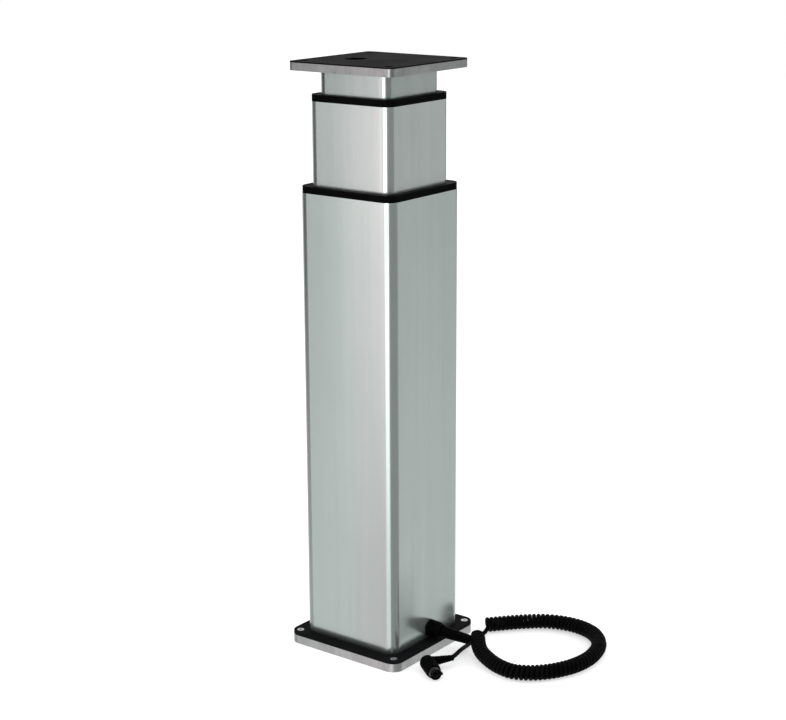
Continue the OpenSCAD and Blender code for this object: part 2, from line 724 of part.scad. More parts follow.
module spindle_upper() color("lightsteelblue") difference() {
    union() {
        translate([0, 0, bush_z]) cylinder(r = up_d / 2, h = up_top - bush_z - 1);
        translate([0, 0, up_collar_z]) cylinder(r = up_d / 2 + 3, h = up_collar_h);
        translate([0, 0, up_top - 1 - eps]) cylinder(r1 = up_d / 2, r2 = up_d / 2 - 1, h = 1);
    }
    translate([0, 0, bush_z - 1]) cylinder(r = up_bore_r, h = up_top);
}

module spindle_plug() color("gray") difference() {
    translate([0, 0, up_top - plug_len]) cylinder(r = up_bore_r - seat_gap, h = plug_len - 0.5);
    translate([0, 0, up_top - plug_len - 1])
        cylinder(r = (rod_af / 2 + seat_gap) / cos(30), h = plug_len - 1 + eps, $fn = 6);
}

module drive_rod() color("lightgray") translate([0, 0, rod_z])
    cylinder(r = rod_af / 2 / cos(30), h = rod_top - rod_z - eps, $fn = 6);

// ---- inner stage ----

module inner_tube() color("silver")
    profile_tube(inner_w, inner_wall, inner_r, inner_port, small_port_r, m4 + screw_gap, inner_z, inner_top - inner_z);

module inner_glides() color("whitesmoke") glide_pads(inner_w / 2, mid_w / 2 - mid_wall - glide_gap, inner_z + 2);

module inner_plate() color("gray") difference() {
    slab(inner_w - 2, inner_r - 1, inner_plate_z, plate_t);
    translate([0, 0, inner_plate_z - 1]) cylinder(r = up_nut_r + 0.1, h = plate_t + 2);
    corners(inner_port) translate([0, 0, inner_plate_z]) mirror([0, 0, 1]) flat_hole(m4, m4_head, plate_t + 1);
    round_pattern(up_nut_screw_r, 4) translate([0, 0, inner_plate_z - 1]) cylinder(r = m4 + screw_gap, h = plate_t + 2);
}

module nut_upper() color("ivory") difference() {
    union() {
        translate([0, 0, up_nut_z]) cylinder(r = up_nut_screw_r + 5.5, h = up_nut_flange);
        translate([0, 0, inner_plate_z - eps]) cylinder(r = up_nut_r, h = up_nut_len + eps);
    }
    translate([0, 0, up_nut_z - 1]) cylinder(r = up_d / 2 + run_gap, h = up_nut_flange + up_nut_len + 2);
    round_pattern(up_nut_screw_r, 4) translate([0, 0, up_nut_z]) mirror([0, 0, 1]) flat_hole(m4, m4_head, up_nut_flange + 1);
}

module inner_screws() color("gray") {
    corners(inner_port) translate([0, 0, inner_plate_z + head_sink]) mirror([0, 0, 1])
        flat_screw(m4, m4_head, plate_t + corner_screw_hold);
    round_pattern(up_nut_screw_r, 4) translate([0, 0, up_nut_z + head_sink]) mirror([0, 0, 1])
        flat_screw(m4, m4_head, up_nut_flange + plate_t - 1);
    corners(inner_port) translate([0, 0, top_z - head_sink]) flat_screw(m4, m4_head, 26);
}

module top_holes(z, h) {
    corners(top_hole_spacing / 2) translate([0, 0, z]) cylinder(r = top_hole_d / 2, h = h);
    translate([port_x, port_y, z]) cylinder(r = port_d / 2, h = h);
}

module top_plate() color("silver") difference() {
    slab(top_w, top_r, inner_top, top_t);
    top_holes(inner_top - 1, top_t + 2);
    corners(inner_port) translate([0, 0, top_z]) flat_hole(m4, m4_head, top_t + 1);
}

module top_cover() color([0.1, 0.1, 0.1]) difference() {
    slab(top_w, top_r, top_z, top_cover_t);
    top_holes(top_z - 1, top_cover_t + 2);
}

// ---- gland, cord and plug ----

module along_gland(z) translate([gland_x, gland_y, gland_z]) rotate([0, 90, 0]) translate([0, 0, z]) children();

module gland_body() color([0.06, 0.06, 0.06]) difference() {
    union() {
        along_gland(-outer_wall - gland_in) cylinder(r = gland_thread_r, h = outer_wall + gland_in + eps);
        along_gland(0) cylinder(r = gland_af / 2 / cos(30), h = gland_hex, $fn = 6);
    }
    along_gland(-outer_wall - gland_in - 1) cylinder(r = cord_r + 0.3, h = outer_wall + gland_hex + gland_in + 2);
}

module gland_locknut() color([0.06, 0.06, 0.06]) difference() {
    along_gland(-outer_wall - 5) cylinder(r = gland_af / 2 / cos(30), h = 5, $fn = 6);
    along_gland(-outer_wall - 6) cylinder(r = gland_thread_r + screw_gap, h = 7);
}

module gland_cap() color([0.06, 0.06, 0.06]) difference() {
    union() {
        along_gland(gland_hex) cylinder(r = gland_af / 2 - 0.3, h = gland_dome - 6 + eps);
        along_gland(gland_hex + gland_dome - 6) cylinder(r1 = gland_af / 2 - 0.3, r2 = sleeve_r + 0.2, h = 6);
    }
    along_gland(gland_hex - 1) cylinder(r = cord_r + 0.3, h = gland_dome + 2);
}

module inner_lead() color([0.1, 0.1, 0.1]) swept(lead_route, lead_r, lead_r, 2, 8);
module lead_sleeve() color([0.06, 0.06, 0.06]) swept(sleeve_route, sleeve_r, sleeve_end_r, 3, 12);
module loose_turn() color([0.06, 0.06, 0.06]) swept(turn_route, cord_r, cord_r, 2, 8);
module curly_coil() color([0.06, 0.06, 0.06]) swept(coil_route, coil_r, coil_r, 2, 12);
module tail_cord() color([0.06, 0.06, 0.06]) swept(tail_route, cord_r, cord_r, 2, 8);

module at_plug(x) translate(plug_at) rotate([0, 0, plug_turn]) translate([x, 0, 0]) children();

// an angled plug: the grip along its own X, and the boot out of its back end at right angles
module plug_body() color([0.05, 0.05, 0.05]) difference() {
    union() {
        at_plug(plug_back) rotate([0, 90, 0]) cylinder(r = plug_r, h = plug_front - plug_back);
        at_plug(plug_back) sphere(plug_r);
        at_plug(0) rotate([boot_tip - 90, 0, 0]) cylinder(r1 = boot_r, r2 = cord_r + 0.8, h = boot_len);
        at_plug(plug_front - 9) translate([0, plug_r - 1.6, -5]) cube([9, 3.4, 3]);
    }
    at_plug(plug_front - shield_in) rotate([0, 90, 0]) cylinder(r = shield_r + seat_gap, h = shield_in + 1);
}

module plug_shield() color([0.15, 0.15, 0.16]) difference() {
    at_plug(plug_front - shield_in) rotate([0, 90, 0]) cylinder(r = shield_r, h = shield_in + shield_out);
    at_plug(plug_front - shield_in + shield_floor) rotate([0, 90, 0])
        cylinder(r = shield_r - shield_wall, h = shield_in + shield_out);
}

module plug_pins() color("gold") at_plug(plug_front - shield_in + shield_floor) rotate([0, 90, 0])
    round_pattern(pin_circle_r, 8, 22.5) cylinder(r = contact_r, h = shield_out);

base_plate();
base_cover();
corner_screws();
base_screws();
outer_tube();
outer_ring();
drive_posts();
drive_flange();
drive_screws();
motor_can();
motor_end_bell();
motor_magnets();
motor_brushes();
sensor_board();
gear_housing();
gear_cover();
cover_bush();
thrust_washer_lower();
gland_body();
gland_locknut();
gland_cap();
inner_lead();
lead_sleeve();
loose_turn();
curly_coil();
tail_cord();
plug_body();
plug_shield();
plug_pins();
motor_shaft();
armature();
commutator();
sun_gear();
planet_gear_1();
planet_gear_2();
planet_gear_3();
planet_carrier();
planet_pins();
spindle_lower();
drive_bush();
thrust_washer_upper();
thrust_balls();
mid_tube();
mid_ring();
mid_glides();
mid_plate();
mid_screws();
nut_lower();
bearing_housing();
upper_bush();
spindle_upper();
spindle_plug();
drive_rod();
inner_tube();
inner_glides();
inner_plate();
inner_screws();
nut_upper();
top_plate();
top_cover();
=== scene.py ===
"""The electric lifting column dressed for a render: its cord and plug, its gland, its tubes, rings and
plates, its drive and its finishes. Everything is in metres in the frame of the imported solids. A size in
millimetres is multiplied by MM where it is used."""
import json
import math
import bpy
import bmesh
from mathutils import Matrix, Vector


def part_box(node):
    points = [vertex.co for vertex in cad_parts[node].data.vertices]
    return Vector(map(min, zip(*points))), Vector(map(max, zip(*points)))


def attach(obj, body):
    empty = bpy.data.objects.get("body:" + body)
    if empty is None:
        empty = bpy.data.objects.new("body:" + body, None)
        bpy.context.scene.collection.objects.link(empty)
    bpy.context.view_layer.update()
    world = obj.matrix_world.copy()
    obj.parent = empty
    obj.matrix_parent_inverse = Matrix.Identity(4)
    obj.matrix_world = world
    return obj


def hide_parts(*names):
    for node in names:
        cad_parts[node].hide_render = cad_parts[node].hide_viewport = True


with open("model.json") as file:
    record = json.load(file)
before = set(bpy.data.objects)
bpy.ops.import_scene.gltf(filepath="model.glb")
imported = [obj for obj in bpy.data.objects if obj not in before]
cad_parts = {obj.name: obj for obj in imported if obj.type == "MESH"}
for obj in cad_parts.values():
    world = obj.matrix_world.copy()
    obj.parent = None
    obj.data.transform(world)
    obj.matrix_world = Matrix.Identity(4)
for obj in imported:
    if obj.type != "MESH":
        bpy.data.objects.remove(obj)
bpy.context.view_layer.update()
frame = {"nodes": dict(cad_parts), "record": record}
MM = 0.001


# ---------------------------------------------------------------- camera

def make_camera(place, turn, down, roll, lens):
    data = bpy.data.cameras.new("camera")
    data.lens = lens
    data.sensor_width = 36
    camera = bpy.data.objects.new("camera", data)
    bpy.context.scene.collection.objects.link(camera)
    camera.matrix_world = (Matrix.Translation(place)
                           @ Matrix.Rotation(math.radians(turn), 4, "Z")
                           @ Matrix.Rotation(math.radians(90 - down), 4, "X")
                           @ Matrix.Rotation(math.radians(roll), 4, "Z"))
    bpy.context.scene.camera = camera


make_camera(place=(1.20284, -1.54327, 0.85454), turn=37.542, down=14.865, roll=-0.293, lens=82.07)


# ---------------------------------------------------------------- shader helpers and shared effects

def new_group(name, inputs, outputs):
    """An empty node group with inputs of (name, kind, value) and outputs of (name, kind)."""
    tree = bpy.data.node_groups.new(name, "ShaderNodeTree")
    for label, kind, value in inputs:
        made = tree.interface.new_socket(name=label, in_out="INPUT", socket_type="NodeSocket" + kind)
        if value is not None:
            made.default_value = value
    for label, kind in outputs:
        tree.interface.new_socket(name=label, in_out="OUTPUT", socket_type="NodeSocket" + kind)
    return tree, tree.nodes.new("NodeGroupInput"), tree.nodes.new("NodeGroupOutput")


def add(tree, kind, values=(), **settings):
    """A shader node with its settings, and with the values of its input sockets."""
    node = tree.nodes.new("ShaderNode" + kind)
    for key, value in settings.items():
        setattr(node, key, value)
    for key, value in dict(values).items():
        node.inputs[key].default_value = value
    return node


def make_grain_group():
    """Fine lines or grain: noise stretched along one direction, as a mask and as a height."""
    tree, given, out = new_group(
        "grain", [("Vector", "Vector", None), ("Stretch", "Vector", (1, 1, 1)), ("Scale", "Float", 400.0),
                  ("Contrast", "Float", 0.5)], [("Mask", "Float"), ("Height", "Float")])
    stretched = add(tree, "VectorMath", operation="MULTIPLY")
    noise = add(tree, "TexNoise", {"Detail": 3.0, "Roughness": 0.6})
    low = add(tree, "Math", {0: 0.5}, operation="SUBTRACT")
    high = add(tree, "Math", {0: 0.5}, operation="ADD")
    half = add(tree, "Math", {1: 0.5}, operation="MULTIPLY")
    spread = add(tree, "MapRange")
    tree.links.new(given.outputs["Vector"], stretched.inputs[0])
    tree.links.new(given.outputs["Stretch"], stretched.inputs[1])
    tree.links.new(stretched.outputs[0], noise.inputs["Vector"])
    tree.links.new(given.outputs["Scale"], noise.inputs["Scale"])
    tree.links.new(given.outputs["Contrast"], half.inputs[0])
    tree.links.new(half.outputs[0], low.inputs[1])
    tree.links.new(half.outputs[0], high.inputs[1])
    tree.links.new(noise.outputs["Fac"], spread.inputs["Value"])
    tree.links.new(low.outputs[0], spread.inputs["From Min"])
    tree.links.new(high.outputs[0], spread.inputs["From Max"])
    tree.links.new(spread.outputs["Result"], out.inputs["Mask"])
    tree.links.new(noise.outputs["Fac"], out.inputs["Height"])
    return tree


def make_clouds_group():
    """Slow changes of tone over a surface, such as handling marks, stains and uneven dye."""
    tree, given, out = new_group(
        "clouds", [("Vector", "Vector", None), ("Scale", "Float", 12.0)], [("Mask", "Float")])
    noise = add(tree, "TexNoise", {"Detail": 4.0, "Roughness": 0.55, "Distortion": 0.4})
    spread = add(tree, "MapRange", {"From Min": 0.32, "From Max": 0.68})
    tree.links.new(given.outputs["Vector"], noise.inputs["Vector"])
    tree.links.new(given.outputs["Scale"], noise.inputs["Scale"])
    tree.links.new(noise.outputs["Fac"], spread.inputs["Value"])
    tree.links.new(spread.outputs["Result"], out.inputs["Mask"])
    return tree


def make_turning_group():
    """Lathe marks: fine rings round the column's Z axis, as a mask."""
    tree, given, out = new_group(
        "turning", [("Vector", "Vector", None), ("Scale", "Float", 900.0)], [("Mask", "Float")])
    wave = add(tree, "TexWave", {"Distortion": 1.2, "Detail": 2.0, "Detail Scale": 2.0},
               wave_type="RINGS", rings_direction="Z")
    tree.links.new(given.outputs["Vector"], wave.inputs["Vector"])
    tree.links.new(given.outputs["Scale"], wave.inputs["Scale"])
    tree.links.new(wave.outputs["Fac"], out.inputs["Mask"])
    return tree


GRAIN = make_grain_group()
CLOUDS = make_clouds_group()
TURNING = make_turning_group()


def place_group(tree, group, where, **values):
    """A shared group in a material, reading the place where, with its own values."""
    node = tree.nodes.new("ShaderNodeGroup")
    node.node_tree = group
    for key, value in values.items():
        node.inputs[key].default_value = value
    tree.links.new(where, node.inputs["Vector"])
    return node


def new_material(name, metallic=0.0, **plain):
    """A material with its plain socket values, its tree, its shader, and the place on the piece."""
    material = bpy.data.materials.new(name)
    material.use_nodes = True
    tree = material.node_tree
    shader = tree.nodes["Principled BSDF"]
    shader.inputs["Metallic"].default_value = metallic
    for key, value in plain.items():
        shader.inputs[key.replace("_", " ").title().replace("Ior", "IOR")].default_value = value
    where = add(tree, "TexCoord")
    return material, tree, shader, where.outputs["Object"]


def mix_colours(tree, mask, dark, light):
    mix = add(tree, "Mix", data_type="RGBA")
    mix.inputs["A"].default_value = (*dark, 1)
    mix.inputs["B"].default_value = (*light, 1)
    tree.links.new(mask, mix.inputs["Factor"])
    return mix.outputs["Result"]


def mix_masks(tree, share, first, second):
    mix = add(tree, "Mix", {"Factor": share}, data_type="FLOAT")
    tree.links.new(first, mix.inputs["A"])
    tree.links.new(second, mix.inputs["B"])
    return mix.outputs["Result"]


def add_relief(tree, shader, height, distance, strength):
    relief = add(tree, "Bump", {"Distance": distance, "Strength": strength})
    tree.links.new(height, relief.inputs["Height"])
    tree.links.new(relief.outputs["Normal"], shader.inputs["Normal"])


def add_roughness(tree, shader, mask, low, high):
    spread = add(tree, "MapRange", {"To Min": low, "To Max": high})
    tree.links.new(mask, spread.inputs["Value"])
    tree.links.new(spread.outputs["Result"], shader.inputs["Roughness"])


def grained(name, dark, light, rough, stretch, scale, relief, metallic=0.0, cloud=10.0, **plain):
    """A finish with grain: light and dark mixed by grain and slow clouds, grain in its relief, clouds in its
    roughness. A relief is in millimetres."""
    material, tree, shader, where = new_material(name, metallic, **plain)
    grain = place_group(tree, GRAIN, where, Stretch=stretch, Scale=scale, Contrast=0.6)
    clouds = place_group(tree, CLOUDS, where, Scale=cloud)
    both = mix_masks(tree, 0.5, grain.outputs["Mask"], clouds.outputs["Mask"])
    tree.links.new(mix_colours(tree, both, dark, light), shader.inputs["Base Color"])
    add_roughness(tree, shader, clouds.outputs["Mask"], *rough)
    add_relief(tree, shader, grain.outputs["Height"], relief * MM, 0.5)
    return material


def turned(name, dark, light, rough, scale):
    """Metal from a lathe: fine rings round Z under slow clouds."""
    material, tree, shader, where = new_material(name, 1.0)
    rings = place_group(tree, TURNING, where, Scale=scale)
    clouds = place_group(tree, CLOUDS, where, Scale=30.0)
    tree.links.new(mix_colours(tree, clouds.outputs["Mask"], dark, light), shader.inputs["Base Color"])
    add_roughness(tree, shader, rings.outputs["Mask"], *rough)
    add_relief(tree, shader, rings.outputs["Mask"], 0.02 * MM, 0.4)
    return material


# ---------------------------------------------------------------- finishes

EVEN = (1, 1, 1)
LINE_STRETCH = (1, 1, 0.004)
BAND_STRETCH = (1, 1, 0.03)
# The share of a tube's colour that the painted shade leaves at its foot.
FOOT_PAINTED_SHADE = 0.12


def make_tube_finish(name, dark, light, band, foot=None):
    """Anodised extrusion: fine lines along Z, and slow bands of tone that run the tube's whole length as a
    painted reflection of the surroundings. A tube that stands on a black cover is painted darker towards its
    foot, between the two heights of foot: painted shade and a painted reflection of the black cover."""
    material, tree, shader, where = new_material(name, 0.8)
    lines = place_group(tree, GRAIN, where, Stretch=LINE_STRETCH, Scale=900.0, Contrast=0.7)
    # Painted reflection: slow bands of lighter and darker tone along Z stand in for the surroundings mirrored
    # in the tube.
    bands = place_group(tree, GRAIN, where, Stretch=BAND_STRETCH, Scale=band, Contrast=0.5)
    clouds = place_group(tree, CLOUDS, where, Scale=9.0)
    drawn = mix_masks(tree, 0.62, lines.outputs["Mask"], bands.outputs["Mask"])
    tone = mix_masks(tree, 0.22, drawn, clouds.outputs["Mask"])
    colours = mix_colours(tree, tone, dark, light)
    # Painted shade: the colour is multiplied darker towards the foot. It stands in for the black cover
    # mirrored in the tube and the shade at its foot.
    if foot:
        parts = add(tree, "SeparateXYZ")
        painted_shade = add(tree, "MapRange", {"From Min": foot[0] * MM, "From Max": foot[1] * MM, "To Min": FOOT_PAINTED_SHADE,
                                      "To Max": 1.0})
        shaded_colours = add(tree, "Mix", {"Factor": 1.0}, data_type="RGBA", blend_type="MULTIPLY")
        tree.links.new(where, parts.inputs[0])
        tree.links.new(parts.outputs["Z"], painted_shade.inputs["Value"])
        tree.links.new(colours, shaded_colours.inputs["A"])
        tree.links.new(painted_shade.outputs["Result"], shaded_colours.inputs["B"])
        colours = shaded_colours.outputs["Result"]
    tree.links.new(colours, shader.inputs["Base Color"])
    add_roughness(tree, shader, lines.outputs["Mask"], 0.17, 0.25)
    add_relief(tree, shader, lines.outputs["Height"], 0.002 * MM, 0.1)
    return material


def make_board_finish():
    """Green solder mask with brighter tracks and pads."""
    material, tree, shader, where = new_material("board_green", 0.0, coat_weight=0.4)
    brick = add(tree, "TexBrick", {"Scale": 260.0, "Mortar Size": 0.12, "Color1": (0.01, 0.12, 0.05, 1),
                                   "Color2": (0.012, 0.15, 0.06, 1), "Mortar": (0.04, 0.27, 0.12, 1)})
    tree.links.new(where, brick.inputs["Vector"])
    tree.links.new(brick.outputs["Color"], shader.inputs["Base Color"])
    clouds = place_group(tree, CLOUDS, where, Scale=60.0)
    add_roughness(tree, shader, clouds.outputs["Mask"], 0.25, 0.4)
    add_relief(tree, shader, brick.outputs["Fac"], 0.03 * MM, 0.5)
    return material


def make_sheath_finish():
    """Black cable sheath: fine matt skin with a soft, patchy sheen."""
    material, tree, shader, where = new_material("sheath_black", 0.0, ior=1.11)
    skin = place_group(tree, GRAIN, where, Stretch=EVEN, Scale=2600.0, Contrast=0.6)
    clouds = place_group(tree, CLOUDS, where, Scale=55.0)
    colours = mix_colours(tree, clouds.outputs["Mask"], (0.0012, 0.0012, 0.0014), (0.003, 0.003, 0.0034))
    tree.links.new(colours, shader.inputs["Base Color"])
    add_roughness(tree, shader, clouds.outputs["Mask"], 0.42, 0.56)
    add_relief(tree, shader, skin.outputs["Height"], 0.03 * MM, 0.4)
    return material


outer_anodised = make_tube_finish("anodised_outer", (0.43, 0.50, 0.475), (0.53, 0.59, 0.565), 46.0, (13, 22))
mid_anodised = make_tube_finish("anodised_middle", (0.43, 0.49, 0.47), (0.55, 0.59, 0.57), 60.0)
# Painted shade: the inner tube's colours are darker than the middle tube's, standing in for the shade under
# the top plate.
inner_anodised_painted_shade = make_tube_finish("anodised_inner_painted_shade", (0.37, 0.425, 0.405), (0.47, 0.515, 0.495), 70.0)
base_aluminium = grained("aluminium_base", (0.31, 0.325, 0.325), (0.57, 0.585, 0.58), (0.26, 0.4),
                         (1, 1, 0.25), 260.0, 0.03, metallic=0.8, cloud=28.0)
top_aluminium = grained("aluminium_top", (0.19, 0.2, 0.2), (0.33, 0.34, 0.34), (0.26, 0.4), (1, 1, 0.25),
                        260.0, 0.03, metallic=0.8, cloud=28.0)
milled_aluminium = grained("aluminium_milled", (0.46, 0.47, 0.48), (0.62, 0.63, 0.64), (0.28, 0.42),
                           (1, 0.06, 1), 700.0, 0.02, metallic=0.9, cloud=20.0)
coat_black = grained("coat_black", (0.005, 0.005, 0.0055), (0.012, 0.012, 0.013), (0.5, 0.62), EVEN, 1500.0,
                     0.05, cloud=18.0, ior=1.06)
mould_black = grained("mould_black", (0.001, 0.001, 0.0012), (0.003, 0.003, 0.0033), (0.42, 0.55), EVEN,
                      2200.0, 0.04, cloud=30.0, ior=1.07)
sheath_black = make_sheath_finish()
acetal_white = grained("acetal_white", (0.72, 0.71, 0.66), (0.84, 0.83, 0.79), (0.35, 0.5), EVEN, 900.0, 0.02,
                       cloud=25.0, subsurface_weight=0.05)
nylon_gear = grained("nylon_gear", (0.70, 0.66, 0.52), (0.80, 0.77, 0.65), (0.35, 0.5), EVEN, 1200.0, 0.02,
                     cloud=70.0)
zinc_steel = turned("steel_zinc", (0.52, 0.53, 0.54), (0.68, 0.69, 0.70), (0.22, 0.4), 700.0)
ground_steel = turned("steel_ground", (0.46, 0.47, 0.49), (0.6, 0.61, 0.63), (0.14, 0.3), 1400.0)
rolled_steel = turned("steel_rolled", (0.38, 0.39, 0.41), (0.52, 0.53, 0.55), (0.2, 0.36), 500.0)
black_steel = grained("steel_blackened", (0.02, 0.02, 0.022), (0.045, 0.045, 0.05), (0.28, 0.45), (1, 1, 0.1),
                      900.0, 0.02, metallic=0.7, cloud=35.0)
ferrite = grained("ferrite", (0.02, 0.02, 0.022), (0.05, 0.05, 0.052), (0.55, 0.75), EVEN, 1500.0, 0.05)
winding_copper = grained("copper_winding", (0.36, 0.13, 0.05), (0.62, 0.28, 0.12), (0.22, 0.4), (1, 1, 0.05),
                         1100.0, 0.15, metallic=0.9, cloud=50.0)
sintered_bronze = grained("bronze_sintered", (0.38, 0.24, 0.09), (0.55, 0.37, 0.16), (0.35, 0.5), EVEN,
                          2500.0, 0.03, metallic=0.9, cloud=60.0)
carbon_block = grained("carbon", (0.012, 0.012, 0.013), (0.03, 0.03, 0.032), (0.45, 0.65), EVEN, 1800.0, 0.03)
board_green = make_board_finish()
dull_pins = turned("pins_dull", (0.07, 0.065, 0.055), (0.12, 0.11, 0.095), (0.35, 0.5), 2500.0)


# ---------------------------------------------------------------- making pieces

SMOOTH_BELOW = math.radians(32)
BEVEL_ABOVE = math.radians(50)
MERGE = 0.002 * MM
FLAT_BELOW = math.radians(0.4)


def shade(bm):
    """Rounds stay smooth and edges that turn more sharply stay crisp."""
    for face in bm.faces:
        face.smooth = True
    for edge in bm.edges:
        edge.smooth = len(edge.link_faces) == 2 and edge.calc_face_angle(0) < SMOOTH_BELOW


def finish_piece(name, bm, material, body, replaced=()):
    """Makes a bmesh a piece with a material, on a body, with the nodes that it stands for."""
    bmesh.ops.recalc_face_normals(bm, faces=bm.faces[:])
    shade(bm)
    mesh = bpy.data.meshes.new(name)
    bm.to_mesh(mesh)
    bm.free()
    mesh.materials.append(material)
    piece = bpy.data.objects.new(name, mesh)
    bpy.context.scene.collection.objects.link(piece)
    normals = piece.modifiers.new("normals", "WEIGHTED_NORMAL")
    normals.keep_sharp = True
    normals.weight = 100
    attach(piece, body)
    if replaced:
        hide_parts(*replaced)
    return piece


def body_holding(node):
    """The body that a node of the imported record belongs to."""
    for body, nodes in frame["record"]["behaviour"]["bodies"].items():
        if node in nodes:
            return body


def dress(node, material, bevel=0):
    """A node's own shape with merged faces, smooth rounds and a bevel of so many MM along its crisp edges."""
    bm = bmesh.new()
    bm.from_mesh(frame["nodes"][node].data)
    bmesh.ops.remove_doubles(bm, verts=bm.verts[:], dist=MERGE)
    bmesh.ops.dissolve_limit(bm, angle_limit=FLAT_BELOW, verts=bm.verts[:], edges=bm.edges[:])
    if bevel:
        crisp = [e for e in bm.edges if len(e.link_faces) == 2 and e.calc_face_angle(0) > BEVEL_ABOVE]
        bmesh.ops.bevel(bm, geom=crisp, offset=bevel * MM, segments=2, profile=0.5, affect="EDGES",
                        material=-1, clamp_overlap=True)
    return finish_piece(node + "_finished", bm, material, body_holding(node), [node])


def paint(material, *nodes):
    """Gives solids that keep their own shape a finish."""
    for node in nodes:
        slots = frame["nodes"][node].data.materials
        slots.clear()
        slots.append(material)


# ---------------------------------------------------------------- cord: one line from the gland to the plug

CORD_D = 5 * MM
TURN_R = 6.4 * MM
PITCH = 5.12 * MM
POINTS_PER_TURN = 16
SLACK = 0.0016
SLACK_WAVES = 2.5
IN_STEPS, OUT_STEPS = 6, 8
GLAND_X, GLAND_Y, GLAND_Z = 65, 5, 25
GLAND_HEX, GLAND_DOME = 5, 13
SLEEVE_X = GLAND_X + GLAND_HEX + GLAND_DOME
sleeve_route = [(SLEEVE_X, GLAND_Y, GLAND_Z), (SLEEVE_X + 8, GLAND_Y + 2, GLAND_Z - 1.6),
                (SLEEVE_X + 17, GLAND_Y + 8, GLAND_Z - 5), (SLEEVE_X + 25, GLAND_Y + 17, GLAND_Z - 9.8)]
turn_route = [(107.8, 20.6, 16), (107.9, 26, 13.6), (107.2, 30, 14), (107, 31, 17), (109.4, 30.1, 20.9),
              (113.4, 31.9, 22.5), (117, 34.1, 20.6), (118.3, 35.3, 16.3), (116.9, 34.4, 12)]
coil_route = [(114.5, 30.5, 16), (122, 21, 13.5), (131, 12.5, 11), (143, 5, 9.5), (164, -5, 9), (186, -9, 9),
              (202, -3, 9), (216, 9, 9), (227, 25, 9), (236, 48, 9), (238, 77, 9), (229, 109, 9),
              (209, 132, 9), (184, 141, 9), (160, 139, 9), (138, 129, 9), (117, 110, 9), (101, 92, 9),
              (91, 80, 9)]
tail_route = [(95.6, 75.3, 5.0), (95.0, 72.4, 2.9), (94.8, 67, 2.6), (96.4, 49, 2.6), (100.5, 30, 3.5),
              (104, 17, 5.5), (108.5, 3.5, 8), (114.4, -14, 10.6), (115.8, -23, 10.9)]


def smooth_line(route, steps):
    """Points on a smooth curve through every point of a route given in millimetres."""
    points = [Vector(p) * MM for p in route]
    last = len(points) - 1
    line = []
    for i in range(last):
        a, b, c, d = points[max(i - 1, 0)], points[i], points[i + 1], points[min(i + 2, last)]
        for k in range(steps):
            t = k / steps
            line.append(0.5 * (2 * b + (c - a) * t + (2 * a - 5 * b + 4 * c - d) * t ** 2
                               + (3 * b - a - 3 * c + d) * t ** 3))
    return line + [points[last]]


def helix_along(route, radius, pitch, per_turn):
    """Left-hand turns wound round a smooth line. They start at the underside, end a quarter turn before it,
    and lie a little closer in some places than in others, as a relaxed curly cord's do."""
    line = smooth_line(route, 24)
    reach = [0.0]
    for a, b in zip(line, line[1:]):
        reach.append(reach[-1] + (b - a).length)
    turns = round(reach[-1] / pitch)
    points = []
    j = 0
    for k in range(turns * per_turn + 1 - per_turn // 4):
        share = k / (turns * per_turn)
        slack = SLACK * math.sin(math.tau * SLACK_WAVES * share) * math.sin(math.pi * share)
        at = reach[-1] * min(max(share + slack, 0), 1)
        while j < len(line) - 2 and reach[j + 1] < at:
            j += 1
        part = (at - reach[j]) / (reach[j + 1] - reach[j])
        along = (line[min(j + 2, len(line) - 1)] - line[max(j - 1, 0)]).normalized()
        left = Vector((0, 0, 1)).cross(along).normalized()
        up = along.cross(left)
        angle = -math.pi / 2 - math.tau * k / per_turn
        out = math.cos(angle) * left + math.sin(angle) * up
        points.append(line[j].lerp(line[j + 1], part) + radius * out)
    return points


def make_strand(name, points, radius, material, swell=None, detail=3):
    """A round strand along points, as a curve; swell gives its radius at each point as a share of radius."""
    data = bpy.data.curves.new(name, "CURVE")
    data.dimensions = "3D"
    data.bevel_depth = radius
    data.bevel_resolution = detail
    data.use_fill_caps = True
    line = data.splines.new("POLY")
    line.points.add(len(points) - 1)
    for i, (point, at) in enumerate(zip(line.points, points)):
        point.co = (*at, 1)
        point.radius = swell[i] if swell else 1.0
    data.materials.append(material)
    strand = bpy.data.objects.new(name, data)
    bpy.context.scene.collection.objects.link(strand)
    return strand


def in_mm(point):
    """A point in the millimetres that the routes are given in."""
    return tuple(c / MM for c in point)


helix = helix_along(coil_route, TURN_R, PITCH, POINTS_PER_TURN)
lead_in = smooth_line(sleeve_route + turn_route[1:] + [in_mm(helix[0]), in_mm(helix[3])], IN_STEPS)
lead_out = smooth_line([in_mm(helix[-4]), in_mm(helix[-1])] + tail_route, OUT_STEPS)
cord_points = lead_in[:-IN_STEPS - 1] + helix + lead_out[OUT_STEPS + 1:]
cord = make_strand("curly_cord", cord_points, CORD_D / 2, sheath_black)
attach(cord, "base")
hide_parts("loose_turn", "curly_coil", "tail_cord")


SLEEVE_R, SLEEVE_END_R = 7.2, 5.6
GROOVE, LIP = 0.985, 0.95


def make_sleeve():
    """The stiff sleeve on the cord's first stretch: it tapers, with faint grooves and a soft lip."""
    line = smooth_line(sleeve_route, 16)
    last = len(line) - 1
    swell = []
    for i in range(len(line)):
        share = i / last
        groove = GROOVE if 0.1 < share < 0.9 and i % 6 < 2 else 1.0
        lip = LIP if share > 0.985 else 1.0
        swell.append((1 - (1 - SLEEVE_END_R / SLEEVE_R) * share) * groove * lip)
    sleeve = make_strand("cord_sleeve", line, SLEEVE_R * MM, mould_black, swell, 8)
    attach(sleeve, "base")
    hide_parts("lead_sleeve")
    return sleeve


sleeve = make_sleeve()

# ---------------------------------------------------------------- plug

